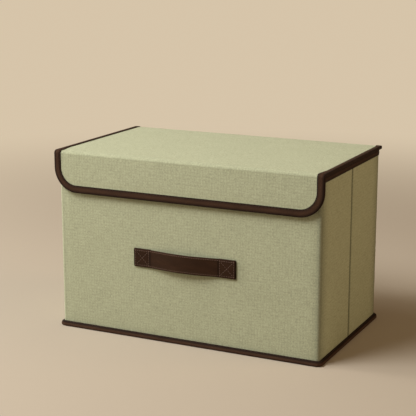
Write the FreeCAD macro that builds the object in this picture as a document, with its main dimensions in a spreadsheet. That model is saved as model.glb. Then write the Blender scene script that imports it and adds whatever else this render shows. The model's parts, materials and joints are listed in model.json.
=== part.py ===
import FreeCAD, Part
import math
import os
import re
import Sketcher

# A foldable fabric storage box. Chipboard panels sit in sewn pockets of woven cloth, bias tape binds
# every edge, and the lid, its front flap, the side walls and the base all fold on cloth hinges.
# Frame: +Z up, +Y towards the back wall, origin on the floor under the middle of the box.
# Millimetres and degrees throughout.

SIZES = {
    "box_width": 380,           # over the cloth of the side walls
    "box_depth": 220,           # over the cloth of the front and back walls
    "wall_top": 244.4,          # top of the bound wall edge above the floor
    "board_thick": 2.0,         # chipboard in the walls and the lid
    "cloth_thick": 0.5,         # outer woven cloth
    "lining_thick": 0.5,        # inner cloth
    "corner_round": 2.2,        # upright outer corners of the front and back walls
    "tape_thick": 0.6,          # bias tape, one side of the edge that it binds
    "tape_width": 10,           # how far the tape reaches in from the edge
    "tape_round": 1.4,          # folded outer edge of the tape
    "foot_height": 7,           # bottom binding above the floor
    "foot_out": 4.5,            # bottom binding outside the wall
    "foot_floor": 1.0,          # bottom binding under the wall's edge
    "foot_round_top": 3.6,
    "foot_round_low": 2.2,
    "foot_corner": 6.5,         # plan radius of the binding round a corner of the box
    "leaf_board_thick": 1.5,    # chipboard in the two base leaves
    "leaf_lining_thick": 0.4,
    "leaf_swing_gap": 0.7,      # folded base leaf to folded side wall
    "leaf_end_gap": 2.0,        # mitred end of a base leaf to the side wall
    "seam_gap": 0.3,            # parts that lie on or beside each other and move apart
    "crease_gap": 0.5,          # between the two panels at a crease
    "crease_ease": 2.5,         # side wall's crease to the ends of its boards, where the cloth folds
    "tape_end_gap": 0.5,        # side wall's top tape to the tapes beside it
    "lid_overhang": 4.2,        # lid panel beyond the side walls
    "lid_back_inset": 0.8,      # back edge of the lid inside the back wall
    "flap_standoff": 2.0,       # flap in front of the front wall
    "flap_top_drop": 0.9,       # upper edge of the flap below its fold line
    "flap_end_gap": 0.4,        # front edge of the lid behind the flap's fold line
    "flap_drop": 50.5,          # height of the flap panel
    "flap_corner": 33,          # lower corners of the flap
    "handle_length": 150,
    "handle_width": 25,
    "handle_middle": 112.5,     # middle of the handle above the floor
    "handle_patch": 25,         # doubled and stitched end of the handle
    "handle_bow": 7,            # how far the handle stands off in the middle
    "webbing_thick": 1.5,
}

# Places that follow from the driving sizes.
PLACES = {
    "outer_x": "box_width / 2",
    "outer_y": "box_depth / 2",
    "wall_thick": "cloth_thick + board_thick + lining_thick",
    "inner_x": "outer_x - wall_thick",
    "inner_y": "outer_y - wall_thick",
    "leaf_thick": "leaf_board_thick + leaf_lining_thick",
    "leaf_top": "cloth_thick + leaf_thick",
    "corner_hinge_y": "inner_y - leaf_thick - leaf_swing_gap",
    "panel_top": "wall_top - tape_thick",
    "lid_low": "wall_top + seam_gap + tape_thick",
    "lid_top": "lid_low + wall_thick",
    "lid_half": "outer_x + lid_overhang",
    "lid_back": "outer_y - lid_back_inset",
    "flap_in": "outer_y + flap_standoff",
    "flap_out": "flap_in + wall_thick",
    "lid_front": "flap_in - flap_end_gap",
    "flap_top": "lid_low - flap_top_drop",
    "flap_bottom": "flap_top - flap_drop",
    "side_end_y": "inner_y - tape_thick - seam_gap",
}

NAMES = re.compile(r"[a-z][a-z_]*")
PLANES = {"XY": "XY_Plane", "XZ": "XZ_Plane", "YZ": "YZ_Plane"}

doc = FreeCAD.newDocument("foldable_storage_box")
sheet = doc.addObject("Spreadsheet::Sheet", "Sizes")
for row, (name, size) in enumerate(SIZES.items(), start=1):
    cell = "B%d" % row
    sheet.set("A%d" % row, name)
    sheet.set(cell, str(size))
    sheet.setAlias(cell, name)
doc.recompute()


def formula(text):
    """An expression on the sheet's cells, with the named places written out."""
    def spell(match):
        name = match.group(0)
        if name in PLACES:
            return "(" + formula(PLACES[name]) + ")"
        return "Sizes." + name
    return NAMES.sub(spell, text)


def size(name):
    return float(getattr(sheet, name))


def block(label, low, high):
    """A plain rectangular piece between two corners."""
    piece = doc.addObject("Part::Box", label)
    for prop, axis, low_text, high_text in zip(("Length", "Width", "Height"), "xyz", low, high):
        piece.setExpression(prop, formula("(%s) - (%s)" % (high_text, low_text)))
        piece.setExpression("Placement.Base." + axis, formula(low_text))
    piece.Label = label
    return piece


def new_body(label):
    body = doc.addObject("PartDesign::Body", label)
    body.Label = label
    return body


def new_sketch(body, plane, start):
    """A sketch parallel to one of the body's planes, at a distance along the axis it faces."""
    sketch = body.newObject("Sketcher::SketchObject", body.Name + "_outline")
    role = PLANES[plane]
    base = [feature for feature in body.Origin.OriginFeatures if feature.Role == role][0]
    sketch.AttachmentSupport = [(base, "")]
    sketch.MapMode = "FlatFace"
    sign = "-" if plane == "XZ" else ""
    sketch.setExpression("AttachmentOffset.Base.z", formula("%s(%s)" % (sign, start)))
    return sketch


def pin(sketch, kind, edge, end, text, start_value):
    """Ties one coordinate of a vertex to the sheet."""
    number = sketch.addConstraint(Sketcher.Constraint(kind, -1, 1, edge, end, start_value))
    sketch.setExpression("Constraints[%d]" % number, formula(text))


def polygon(body, plane, start, corners):
    """A closed straight-sided outline whose corners are pairs of expressions."""
    sketch = new_sketch(body, plane, start)
    count = len(corners)
    middle = FreeCAD.Vector(0, 0, 0)
    spots = []
    for number in range(count):
        turn = 2 * math.pi * number / count
        spots.append(middle + FreeCAD.Vector(math.cos(turn), math.sin(turn), 0) * 10)
    for number in range(count):
        sketch.addGeometry(Part.LineSegment(spots[number], spots[(number + 1) % count]))
    for number in range(count):
        sketch.addConstraint(Sketcher.Constraint("Coincident", number, 2, (number + 1) % count, 1))
    for number, (across, up) in enumerate(corners):
        pin(sketch, "DistanceX", number, 1, across, spots[number].x)
        pin(sketch, "DistanceY", number, 1, up, spots[number].y)
    return sketch


def rectangle(body, plane, start, low, high):
    corners = [(low[0], low[1]), (high[0], low[1]), (high[0], high[1]), (low[0], high[1])]
    return polygon(body, plane, start, corners)


def flap_outline(body, start, half, top, low, radius):
    """The flap's outline in the XZ plane: straight across the top, rounded at both lower corners."""
    sketch = new_sketch(body, "XZ", start)
    wide, high, deep, bend = 100.0, 50.0, 10.0, 8.0
    point = FreeCAD.Vector
    up = FreeCAD.Vector(0, 0, 1)
    right_arc = Part.Circle(point(wide - bend, deep + bend, 0), up, bend)
    left_arc = Part.Circle(point(bend - wide, deep + bend, 0), up, bend)
    pieces = [
        Part.LineSegment(point(-wide, high, 0), point(wide, high, 0)),
        Part.LineSegment(point(wide, high, 0), point(wide, deep + bend, 0)),
        Part.ArcOfCircle(right_arc, -math.pi / 2, 0),
        Part.LineSegment(point(wide - bend, deep, 0), point(bend - wide, deep, 0)),
        Part.ArcOfCircle(left_arc, math.pi, 1.5 * math.pi),
        Part.LineSegment(point(-wide, deep + bend, 0), point(-wide, high, 0)),
    ]
    across, right, right_bend, bottom, left_bend, left = [sketch.addGeometry(p) for p in pieces]
    joints = [
        Sketcher.Constraint("Coincident", across, 2, right, 1),
        Sketcher.Constraint("Tangent", right, 2, right_bend, 2),
        Sketcher.Constraint("Tangent", right_bend, 1, bottom, 1),
        Sketcher.Constraint("Tangent", bottom, 2, left_bend, 2),
        Sketcher.Constraint("Tangent", left_bend, 1, left, 1),
        Sketcher.Constraint("Coincident", left, 2, across, 1),
        Sketcher.Constraint("Horizontal", across),
        Sketcher.Constraint("Horizontal", bottom),
        Sketcher.Constraint("Vertical", right),
        Sketcher.Constraint("Vertical", left),
    ]
    for joint in joints:
        sketch.addConstraint(joint)
    pin(sketch, "DistanceX", across, 2, half, wide)
    pin(sketch, "DistanceX", across, 1, "-(%s)" % half, -wide)
    pin(sketch, "DistanceY", across, 2, top, high)
    pin(sketch, "DistanceY", bottom, 1, low, deep)
    for bend_edge in (right_bend, left_bend):
        number = sketch.addConstraint(Sketcher.Constraint("Radius", bend_edge, bend))
        sketch.setExpression("Constraints[%d]" % number, formula(radius))
    return sketch


def pad(body, sketch, plane, start, end):
    """Material from the sketch up to an end coordinate on the axis across it."""
    feature = body.newObject("PartDesign::Pad", body.Name + "_pad")
    feature.Profile = sketch
    feature.Reversed = plane == "XZ"
    feature.setExpression("Length", formula("(%s) - (%s)" % (end, start)))
    doc.recompute()
    return feature


def pocket(body, sketch, plane, start, end):
    """A cut from the sketch up to an end coordinate on the axis across it."""
    before = body.Shape.Volume
    feature = body.newObject("PartDesign::Pocket", body.Name + "_pocket")
    feature.Profile = sketch
    feature.Reversed = plane != "XZ"
    feature.setExpression("Length", formula("(%s) - (%s)" % (end, start)))
    doc.recompute()
    if body.Shape.Volume > before * 0.9999:
        raise RuntimeError("a pocket of %s cuts nothing" % body.Label)
    return feature


def edges_at(shape, direction, sides):
    """Names of the edges that run along an axis and lie on the given sides of the shape's box."""
    box = shape.BoundBox
    limits = {"+x": box.XMax, "-x": box.XMin, "+y": box.YMax, "-y": box.YMin, "+z": box.ZMax, "-z": box.ZMin}
    found = []
    for number, edge in enumerate(shape.Edges, start=1):
        ends = [vertex.Point for vertex in edge.Vertexes]
        if len(ends) < 2:
            continue
        run = ends[1] - ends[0]
        along = abs(getattr(run, direction))
        if along < 0.999 * run.Length or along < 1e-6:
            continue
        if all(abs(getattr(ends[0], side[1]) - limits[side]) < 1e-4 for side in sides):
            found.append("Edge%d" % number)
    return found


def fillet(body, base, picks, radius):
    """Rounds the edges that each (direction, sides) pair picks."""
    names = []
    for direction, sides in picks:
        names += edges_at(base.Shape, direction, sides)
    feature = body.newObject("PartDesign::Fillet", body.Name + "_round")
    feature.Base = (base, names)
    feature.setExpression("Radius", formula(radius))
    doc.recompute()
    return feature


def cloth_pocket(label, low, high, board_low, board_high, rounds=(), lip=None):
    """Outer cloth turned in round a board: a shallow tray, open on the lining's side."""
    body = new_body(label)
    outline = rectangle(body, "XY", low[2], low[:2], high[:2])
    tip = pad(body, outline, "XY", low[2], high[2])
    if rounds:
        tip = fillet(body, tip, rounds, "corner_round")
    hollow = rectangle(body, "XY", board_low[2], board_low[:2], board_high[:2])
    pocket(body, hollow, "XY", board_low[2], board_high[2])
    if lip:
        edge = rectangle(body, "XY", high[2], lip[0][:2], lip[1][:2])
        pad(body, edge, "XY", high[2], lip[1][2])
    return body


def edge_tape(label, plane, across, edge, tip, length):
    """Bias tape folded over a panel's edge: a channel padded along the edge."""
    body = new_body(label)
    low, high = across
    inside = "%s - (tape_width - tape_thick)" % edge
    outside = "%s + tape_thick" % edge
    if tip == "x":
        corners = [(inside, low + " - tape_thick"), (outside, low + " - tape_thick"),
                   (outside, high + " + tape_thick"), (inside, high + " + tape_thick"),
                   (inside, high), (edge, high), (edge, low), (inside, low)]
        picks = [("y", ["+x", "+z"]), ("y", ["+x", "-z"])]
    else:
        corners = [(low + " - tape_thick", inside), (low + " - tape_thick", outside),
                   (high + " + tape_thick", outside), (high + " + tape_thick", inside),
                   (high, inside), (high, edge), (low, edge), (low, inside)]
        run, side = ("y", "x") if plane == "XZ" else ("x", "y")
        picks = [(run, ["+z", "+" + side]), (run, ["+z", "-" + side])]
    profile = polygon(body, plane, length[0], corners)
    channel = pad(body, profile, plane, length[0], length[1])
    fillet(body, channel, picks, "tape_round")
    return body


def foot_tape(label, low, high, wall_low, wall_high, corners, outer):
    """The thick bottom binding along one wall, with the seat that the wall stands in."""
    body = new_body(label)
    outline = rectangle(body, "XY", "0", low, high)
    tip = pad(body, outline, "XY", "0", "foot_height")
    if corners:
        tip = fillet(body, tip, corners, "foot_corner")
    tip = fillet(body, tip, [(outer[0], [outer[1], "+z"])], "foot_round_top")
    fillet(body, tip, [(outer[0], [outer[1], "-z"])], "foot_round_low")
    seat = rectangle(body, "XY", "foot_floor", wall_low, wall_high)
    pocket(body, seat, "XY", "foot_floor", "foot_height + 1")
    return body


def mirrored(label, source, normal):
    copy = doc.addObject("Part::Mirroring", label)
    copy.Source = source
    copy.Base = FreeCAD.Vector(0, 0, 0)
    copy.Normal = FreeCAD.Vector(*normal)
    copy.Label = label
    return copy


def back_wall():
    low = ("-outer_x", "inner_y + lining_thick", "foot_floor")
    high = ("outer_x", "outer_y", "wall_top")
    board_low = ("-outer_x + corner_round", "inner_y + lining_thick", "foot_floor + cloth_thick")
    board_high = ("outer_x - corner_round", "outer_y - cloth_thick", "wall_top - cloth_thick")
    lip = (("-outer_x", "outer_y - cloth_thick"), ("outer_x", "outer_y", "lid_top"))
    rounds = [("z", ["+y", "-x"]), ("z", ["+y", "+x"])]
    return [
        block("back_board", board_low, board_high),
        cloth_pocket("back_cloth", low, high, board_low, board_high, rounds, lip),
        block("back_lining", ("-outer_x", "inner_y", "foot_floor"),
              ("outer_x", "inner_y + lining_thick", "wall_top")),
        end_foot("back_bottom_tape"),
    ]


def end_foot(label):
    """Bottom binding of the back wall, carried round both corners."""
    return foot_tape(label, ("-(outer_x + foot_out)", "inner_y"), ("outer_x + foot_out", "outer_y + foot_out"),
                     ("-outer_x", "inner_y - 1"), ("outer_x", "outer_y"),
                     [("z", ["+y", "-x"]), ("z", ["+y", "+x"])], ("x", "+y"))


def front_wall():
    low = ("-outer_x", "-outer_y", "foot_floor")
    high = ("outer_x", "-(inner_y + lining_thick)", "panel_top")
    board_low = ("-outer_x + corner_round", "-outer_y + cloth_thick", "foot_floor + cloth_thick")
    board_high = ("outer_x - corner_round", "-(inner_y + lining_thick)", "panel_top - cloth_thick")
    rounds = [("z", ["-y", "-x"]), ("z", ["-y", "+x"])]
    rear_foot = doc.getObject("back_bottom_tape")
    return [
        block("front_board", board_low, board_high),
        cloth_pocket("front_cloth", low, high, board_low, board_high, rounds),
        block("front_lining", ("-outer_x", "-(inner_y + lining_thick)", "foot_floor"),
              ("outer_x", "-inner_y", "panel_top")),
        edge_tape("front_top_tape", "YZ", ("-outer_y", "-inner_y"), "panel_top", "z",
                  ("-(outer_x + tape_thick)", "outer_x + tape_thick")),
        mirrored("front_bottom_tape", rear_foot, (0, 1, 0)),
    ]


def left_rear_half():
    """Rear half of the left wall. Its board stops short of both folds, where the cloth alone bends."""
    near, far = "crease_gap / 2", "side_end_y"
    low = ("-outer_x", near, "foot_floor")
    high = ("-(inner_x + lining_thick)", far, "panel_top")
    board_low = ("-outer_x + cloth_thick", "crease_ease", "foot_floor + cloth_thick")
    board_high = ("-(inner_x + lining_thick)", "corner_hinge_y", "panel_top - cloth_thick")
    return [
        block("left_rear_board", board_low, board_high),
        cloth_pocket("left_rear_cloth", low, high, board_low, board_high),
        block("left_rear_lining", ("-(inner_x + lining_thick)", near, "foot_floor"),
              ("-inner_x", far, "panel_top")),
        edge_tape("left_rear_top_tape", "XZ", ("-outer_x", "-inner_x"), "panel_top", "z",
                  (near, "inner_y - tape_thick - tape_end_gap")),
        foot_tape("left_rear_bottom_tape", ("-(outer_x + foot_out)", near), ("-inner_x", far),
                  ("-outer_x", near + " - 1"), ("-inner_x + 1", far + " + 1"), (), ("y", "-x")),
    ]


def side_walls():
    """The left rear half and its three mirror images."""
    rear = left_rear_half()
    pieces = list(rear)
    front = [mirrored(p.Label.replace("rear", "front"), p, (0, 1, 0)) for p in rear]
    pieces += front
    pieces += [mirrored(p.Label.replace("left", "right"), p, (1, 0, 0)) for p in rear + front]
    return pieces


def leaf_plate(label, low, high, inset):
    """A plate with ends mitred at 45 degrees, so that the leaf folds up between the side walls."""
    body = new_body(label)
    wide, narrow = "inner_y - seam_gap", "crease_gap / 2"
    corners = []
    for sign, place, shrink in (("-", wide, "-"), ("", wide, "-"), ("", narrow, "+"), ("-", narrow, "+")):
        reach = "(inner_x - leaf_end_gap - inner_y + %s - %s)" % (place, inset)
        corners.append((sign + reach, "%s %s %s" % (place, shrink, inset)))
    outline = polygon(body, "XY", low, corners)
    pad(body, outline, "XY", low, high)
    return body


def base():
    board = leaf_plate("base_rear_board", "cloth_thick", "cloth_thick + leaf_board_thick", "lining_thick")
    lining = leaf_plate("base_rear_lining", "cloth_thick + leaf_board_thick", "leaf_top", "0")
    reach_x, reach_y = "inner_x - seam_gap", "inner_y - seam_gap"
    return [
        board,
        lining,
        mirrored("base_front_board", board, (0, 1, 0)),
        mirrored("base_front_lining", lining, (0, 1, 0)),
        block("base_cloth", ("-(%s)" % reach_x, "-(%s)" % reach_y, "0"), (reach_x, reach_y, "cloth_thick")),
    ]


def lid():
    low = ("-lid_half", "-lid_front", "lid_low + lining_thick")
    high = ("lid_half", "lid_back", "lid_top")
    board_low = ("-lid_half + cloth_thick", "-lid_front + cloth_thick", "lid_low + lining_thick")
    board_high = ("lid_half - cloth_thick", "lid_back - cloth_thick", "lid_top - cloth_thick")
    right = edge_tape("lid_right_tape", "XZ", ("lid_low", "lid_top"), "lid_half", "x",
                      ("-lid_front", "lid_back"))
    return [
        block("lid_board", board_low, board_high),
        cloth_pocket("lid_cloth", low, high, board_low, board_high),
        block("lid_lining", ("-lid_half", "-lid_front", "lid_low"),
              ("lid_half", "lid_back", "lid_low + lining_thick")),
        right,
        mirrored("lid_left_tape", right, (1, 0, 0)),
    ]


def flap_plate(label, front, back, inset):
    body = new_body(label)
    outline = flap_outline(body, front, "lid_half - " + inset, "flap_top - " + inset,
                           "flap_bottom + " + inset, "flap_corner - " + inset)
    pad(body, outline, "XZ", front, back)
    return body


def flap():
    front, back = "-flap_out", "-flap_in"
    lining_face = "-(flap_in + lining_thick)"
    cloth = flap_plate("flap_cloth", front, lining_face, "0")
    board_space = flap_outline(cloth, front + " + cloth_thick", "lid_half - cloth_thick",
                               "flap_top - cloth_thick", "flap_bottom + cloth_thick",
                               "flap_corner - cloth_thick")
    pocket(cloth, board_space, "XZ", front + " + cloth_thick", lining_face)

    tape = new_body("flap_tape")
    outside, inside = "-(flap_out + tape_thick)", "-(flap_in - tape_thick)"
    outline = flap_outline(tape, outside, "lid_half + tape_thick", "flap_top",
                           "flap_bottom - tape_thick", "flap_corner + tape_thick")
    pad(tape, outline, "XZ", outside, inside)
    reach = "(tape_width - tape_thick)"
    window = flap_outline(tape, outside + " - 1", "lid_half - " + reach, "flap_top + 1",
                          "flap_bottom + " + reach, "flap_corner - " + reach)
    pocket(tape, window, "XZ", outside + " - 1", inside + " + 1")
    slot = flap_outline(tape, front, "lid_half", "flap_top + 1", "flap_bottom", "flap_corner")
    pocket(tape, slot, "XZ", front, back)
    return [
        flap_plate("flap_board", front + " + cloth_thick", lining_face, "cloth_thick"),
        cloth,
        flap_plate("flap_lining", lining_face, back, "0"),
        tape,
        fold_cloth(),
    ]


def fold_cloth():
    """Outer cloth bent round the front fold, from the lid's front edge down to the flap's upper edge."""
    body = new_body("flap_fold_cloth")
    sketch = new_sketch(body, "YZ", "-lid_half")
    point = FreeCAD.Vector
    axis = point(0, 0, 1)
    outer, inner, leg = 30.0, 25.0, 5.0
    pieces = [
        Part.ArcOfCircle(Part.Circle(point(0, 0, 0), axis, outer), math.pi / 2, math.pi),
        Part.LineSegment(point(-outer, 0, 0), point(-outer, -leg, 0)),
        Part.LineSegment(point(-outer, -leg, 0), point(-inner, -leg, 0)),
        Part.LineSegment(point(-inner, -leg, 0), point(-inner, 0, 0)),
        Part.ArcOfCircle(Part.Circle(point(0, 0, 0), axis, inner), math.pi / 2, math.pi),
        Part.LineSegment(point(0, inner, 0), point(leg, inner, 0)),
        Part.LineSegment(point(leg, inner, 0), point(leg, outer, 0)),
        Part.LineSegment(point(leg, outer, 0), point(0, outer, 0)),
    ]
    bend, down, foot, up, inside, step, end, back = [sketch.addGeometry(piece) for piece in pieces]
    joints = [
        Sketcher.Constraint("Tangent", bend, 2, down, 1),
        Sketcher.Constraint("Coincident", down, 2, foot, 1),
        Sketcher.Constraint("Coincident", foot, 2, up, 1),
        Sketcher.Constraint("Tangent", up, 2, inside, 2),
        Sketcher.Constraint("Tangent", inside, 1, step, 1),
        Sketcher.Constraint("Coincident", step, 2, end, 1),
        Sketcher.Constraint("Coincident", end, 2, back, 1),
        Sketcher.Constraint("Tangent", back, 2, bend, 1),
        Sketcher.Constraint("Coincident", bend, 3, inside, 3),
        Sketcher.Constraint("Vertical", down),
        Sketcher.Constraint("Horizontal", foot),
        Sketcher.Constraint("Vertical", up),
        Sketcher.Constraint("Horizontal", step),
        Sketcher.Constraint("Vertical", end),
        Sketcher.Constraint("Horizontal", back),
    ]
    for joint in joints:
        sketch.addConstraint(joint)
    pin(sketch, "DistanceX", bend, 3, "-flap_in", 0.0)
    pin(sketch, "DistanceY", bend, 3, "lid_low", 0.0)
    pin(sketch, "DistanceX", step, 2, "-lid_front", leg)
    pin(sketch, "DistanceY", down, 2, "flap_top", -leg)
    for edge, start, text in ((bend, outer, "wall_thick"), (inside, inner, "wall_thick - cloth_thick")):
        number = sketch.addConstraint(Sketcher.Constraint("Radius", edge, start))
        sketch.setExpression("Constraints[%d]" % number, formula(text))
    pad(body, sketch, "YZ", "-lid_half", "lid_half")
    return body


def bend_arc(centre_x, centre_y, radius, first, last):
    """An arc in plan, with its angles counted from -Y towards +X."""
    spots = []
    for turn in (first, (first + last) / 2, last):
        place = (centre_x + radius * math.sin(turn), centre_y - radius * math.cos(turn))
        spots.append(FreeCAD.Vector(place[0], place[1], 0))
    return Part.Arc(*spots).toShape()


def handle():
    """Webbing with both ends folded under and sewn flat, and a shallow bow between them."""
    wall = -size("box_depth") / 2
    web = size("webbing_thick")
    face = wall - 2 * web
    end = size("handle_length") / 2
    root = end - size("handle_patch")
    rise = size("handle_bow") / 2
    radius = ((root / 2) ** 2 + rise ** 2) / (2 * rise)
    turn = math.asin(root / 2 / radius)
    crown_y = face - 2 * rise + radius
    foot_y = face - radius

    def spot(across, out):
        return FreeCAD.Vector(across, out, 0)

    def line(start, finish):
        return Part.LineSegment(spot(*start), spot(*finish)).toShape()

    fold = end - web
    edges = [
        line((fold, face), (root, face)),
        bend_arc(root, foot_y, radius, math.pi, math.pi + turn),
        bend_arc(0, crown_y, radius, turn, -turn),
        bend_arc(-root, foot_y, radius, math.pi - turn, math.pi),
        line((-root, face), (-fold, face)),
        Part.Arc(spot(-fold, face), spot(-end, wall - web), spot(-fold, wall)).toShape(),
        line((-fold, wall), (-root, wall)),
        line((-root, wall), (-root, wall - web)),
        bend_arc(-root, foot_y, radius + web, math.pi, math.pi - turn),
        bend_arc(0, crown_y, radius - web, -turn, turn),
        bend_arc(root, foot_y, radius + web, math.pi + turn, math.pi),
        line((root, wall - web), (root, wall)),
        line((root, wall), (fold, wall)),
        Part.Arc(spot(fold, wall), spot(end, wall - web), spot(fold, face)).toShape(),
    ]
    profile = Part.Face(Part.Wire(edges))
    width = size("handle_width")
    strap = doc.addObject("Part::Feature", "handle_strap")
    strap.Shape = profile.extrude(FreeCAD.Vector(0, 0, width))
    strap.Placement = FreeCAD.Placement(FreeCAD.Vector(0, 0, size("handle_middle") - width / 2),
                                        FreeCAD.Rotation())
    strap.Label = "handle_strap"
    return [strap]


def export(pieces):
    doc.recompute()
    for item in doc.Objects:
        if "Invalid" in item.State or "Error" in item.State:
            raise RuntimeError("%s failed: %s" % (item.Label, item.State))
    for piece in pieces:
        shape = piece.Shape
        if shape.isNull() or not shape.isValid() or len(shape.Solids) != 1:
            raise RuntimeError("%s is not one valid solid" % piece.Label)
    os.makedirs("parts", exist_ok=True)
    for piece in pieces:
        piece.Shape.exportStep("parts/%s.step" % piece.Label)
    print("%d sub-parts written" % len(pieces))


export(back_wall() + front_wall() + side_walls() + base() + lid() + flap() + handle())
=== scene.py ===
import json
from math import ceil, copysign, cos, pi, radians, sin, sqrt

import bmesh
import bpy
import numpy as np
from mathutils import Matrix, Vector, noise


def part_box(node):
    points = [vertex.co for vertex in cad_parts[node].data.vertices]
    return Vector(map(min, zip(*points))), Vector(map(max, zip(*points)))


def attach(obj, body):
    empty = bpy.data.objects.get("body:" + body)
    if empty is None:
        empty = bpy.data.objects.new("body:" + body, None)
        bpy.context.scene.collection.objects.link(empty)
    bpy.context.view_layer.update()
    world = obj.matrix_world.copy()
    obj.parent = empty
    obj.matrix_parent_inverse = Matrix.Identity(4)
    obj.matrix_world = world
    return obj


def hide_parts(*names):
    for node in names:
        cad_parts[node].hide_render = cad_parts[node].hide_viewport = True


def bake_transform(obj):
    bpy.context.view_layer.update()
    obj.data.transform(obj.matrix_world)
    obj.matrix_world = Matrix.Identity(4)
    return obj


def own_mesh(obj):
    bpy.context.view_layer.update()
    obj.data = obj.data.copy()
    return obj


# A foldable cloth storage box. Every woven piece is laid out flat in metres and then bent to its place,
# so its weave, tape and stitches follow it round each fold. +Z is up and -Y faces out of the front.
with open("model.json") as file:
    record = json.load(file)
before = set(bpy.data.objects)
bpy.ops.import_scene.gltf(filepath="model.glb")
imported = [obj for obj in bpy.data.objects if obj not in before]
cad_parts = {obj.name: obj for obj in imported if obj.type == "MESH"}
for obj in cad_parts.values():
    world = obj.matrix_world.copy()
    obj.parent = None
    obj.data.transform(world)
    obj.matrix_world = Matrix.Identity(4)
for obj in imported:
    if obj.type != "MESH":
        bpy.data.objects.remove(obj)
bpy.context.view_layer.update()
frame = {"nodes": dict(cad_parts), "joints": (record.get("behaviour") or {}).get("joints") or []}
nodes = frame["nodes"]
scene = bpy.context.scene

MM = 0.001


def low(node):
    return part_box(node)[0]


def high(node):
    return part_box(node)[1]


def axis_of(joint):
    return [entry["pos_m"] for entry in frame["joints"] if entry["name"] == joint][0]


# Places read from the frame
WALL_X = high("right_rear_cloth").x
WALL_Y = high("back_cloth").y
INNER_X = low("right_rear_lining").x
INNER_Y = low("back_lining").y
WALL_LOW = low("front_cloth").z
WALL_TOP = high("front_cloth").z
TAPE_TOP = high("front_top_tape").z
BACK_TOP = high("back_lining").z
SIDE_END = high("left_rear_cloth").y
FOOT_TOP = high("front_bottom_tape").z
FOOT_OUT = high("front_bottom_tape").x - WALL_X
LID_X, LID_BACK, LID_TOP = high("lid_cloth")
PANEL = LID_TOP - low("lid_lining").z
FLAP_OUT = -low("flap_cloth").y
BASE_CLOTH = high("base_cloth").z
LEAF_X, LEAF_BACK, LEAF_TOP = high("base_rear_lining")
CREASE_Y = low("base_rear_lining").y
HANDLE_LOW, HANDLE_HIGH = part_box("handle_strap")
CORNER_AXIS = axis_of("right_rear_corner")

# Makers' sizes
CLOTH = 0.5 * MM
TAPE = 0.6 * MM
TAPE_REACH = 9.8 * MM  # in from the panel's edge
LID_TAPE_SHARE = 0.7  # of that reach, beside the lid's top
WALL_TAPE_REACH = 8.2 * MM
TAPE_LIP = 0.4 * MM  # how far in from the edge a tape begins to turn
SEAM_SHARE = 0.87  # where a tape's seam runs, of its reach
SEAM_HEIGHT = 0.78 * TAPE
EDGE_INSET = 0.8 * MM  # the lid's cloth ends this far inside its tape
CORNER_X = 4.0 * MM  # upright corners, along the front and along the side
CORNER_Y = 3.0 * MM
CORNER_STOP = 0.35 * MM  # cloth round a corner stops this far before the side wall's
SIDE_START = 0.25 * MM  # how far the side wall's comes to meet it
FLAP_CORNER = 33 * MM
FLAP_DROP = 1.4 * MM  # the flap's cloth hangs this much lower than its node
LID_CORNER = 2.5 * MM  # back corners of the lid
TIGHT = 0.4 * MM  # smallest bend of cloth on the inside of a fold
FOLD_RADIUS = 4.2 * MM  # soft outer round where the lid turns down into its flap
EASE = 3 * MM  # stretch beside the lid's fold with its fine mesh
CREASE_EASE = 4 * MM  # stretch beside it with a fine mesh
SLACK_REACH = 14 * MM  # beside a seam, cloth comes loose over this stretch
HEM_DROP = 0.3 * MM  # from the lining's edge to the back wall's hem
HEM_REACH = 8 * MM
FOOT_CURVE = 0.4 * MM  # where the bottom binding's round begins
FOOT_WIDEST = 3.2 * MM  # height at which it stands out furthest
FOOT_UNDER = 2.2 * MM  # radius of its lower round
WEBBING = 1.5 * MM
HANDLE_PATCH = 25 * MM
HANDLE_BOW = 5.4 * MM
STITCH_PITCH = 4.4 * MM
STITCH_LENGTH = 3.4 * MM
THREAD_WIDTH = 0.6 * MM
THREAD_SINK = 0.08 * MM  # how far a stitch sinks into the cloth
FINE = 2.6 * MM  # spacing of the cloth's mesh
COARSE = 7 * MM
SHARP_EDGE = radians(50)

LID_START = 3.2 * MM  # where the hinge cloth ends on the lid
FOLD_FRONT = FLAP_OUT - FOLD_RADIUS
FOLD_TOP = LID_TOP - FOLD_RADIUS
LID_LENGTH = LID_BACK + FOLD_FRONT
FOLD_LENGTH = FOLD_RADIUS * pi / 2
FOLD_END = LID_LENGTH + FOLD_LENGTH
FLAP_END = FOLD_END + FOLD_TOP - (low("flap_cloth").z - FLAP_DROP)
WALL_STRAIGHT = WALL_X - CORNER_X
WALL_ROUND = pi / 2 * sqrt((CORNER_X ** 2 + CORNER_Y ** 2) / 2)
CORNER_END = WALL_STRAIGHT + WALL_ROUND
WALL_END = CORNER_END + WALL_Y - CORNER_Y - SIDE_END - CORNER_STOP
SIDE_FROM = CORNER_END + WALL_Y - CORNER_Y  # a side wall's middle, along the cloth


def run(start, end, step):
    """Even values from start to end, no further apart than step."""
    return np.linspace(start, end, max(1, ceil(abs(end - start) / step)) + 1)


def spread(places, steps):
    """Values through a list of places, each stretch with its own spacing."""
    parts = [run(a, b, step) for a, b, step in zip(places, places[1:], steps)]
    return np.concatenate([parts[0]] + [part[1:] for part in parts[1:]])


def ease(x):
    """A smooth rise from 0 to 1."""
    x = np.clip(x, 0, 1)
    return x * x * (3 - 2 * x)


def hump(x, width):
    """1 at 0, falling away smoothly on both sides."""
    return np.exp(-(x / width) ** 2)


def uneven(u, v, size, seed):
    """Smooth wandering between about -1 and 1, the same on every run."""
    places = zip((u / size).ravel(), (v / size).ravel())
    return np.reshape([noise.noise((a, b, seed)) for a, b in places], u.shape)


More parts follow.
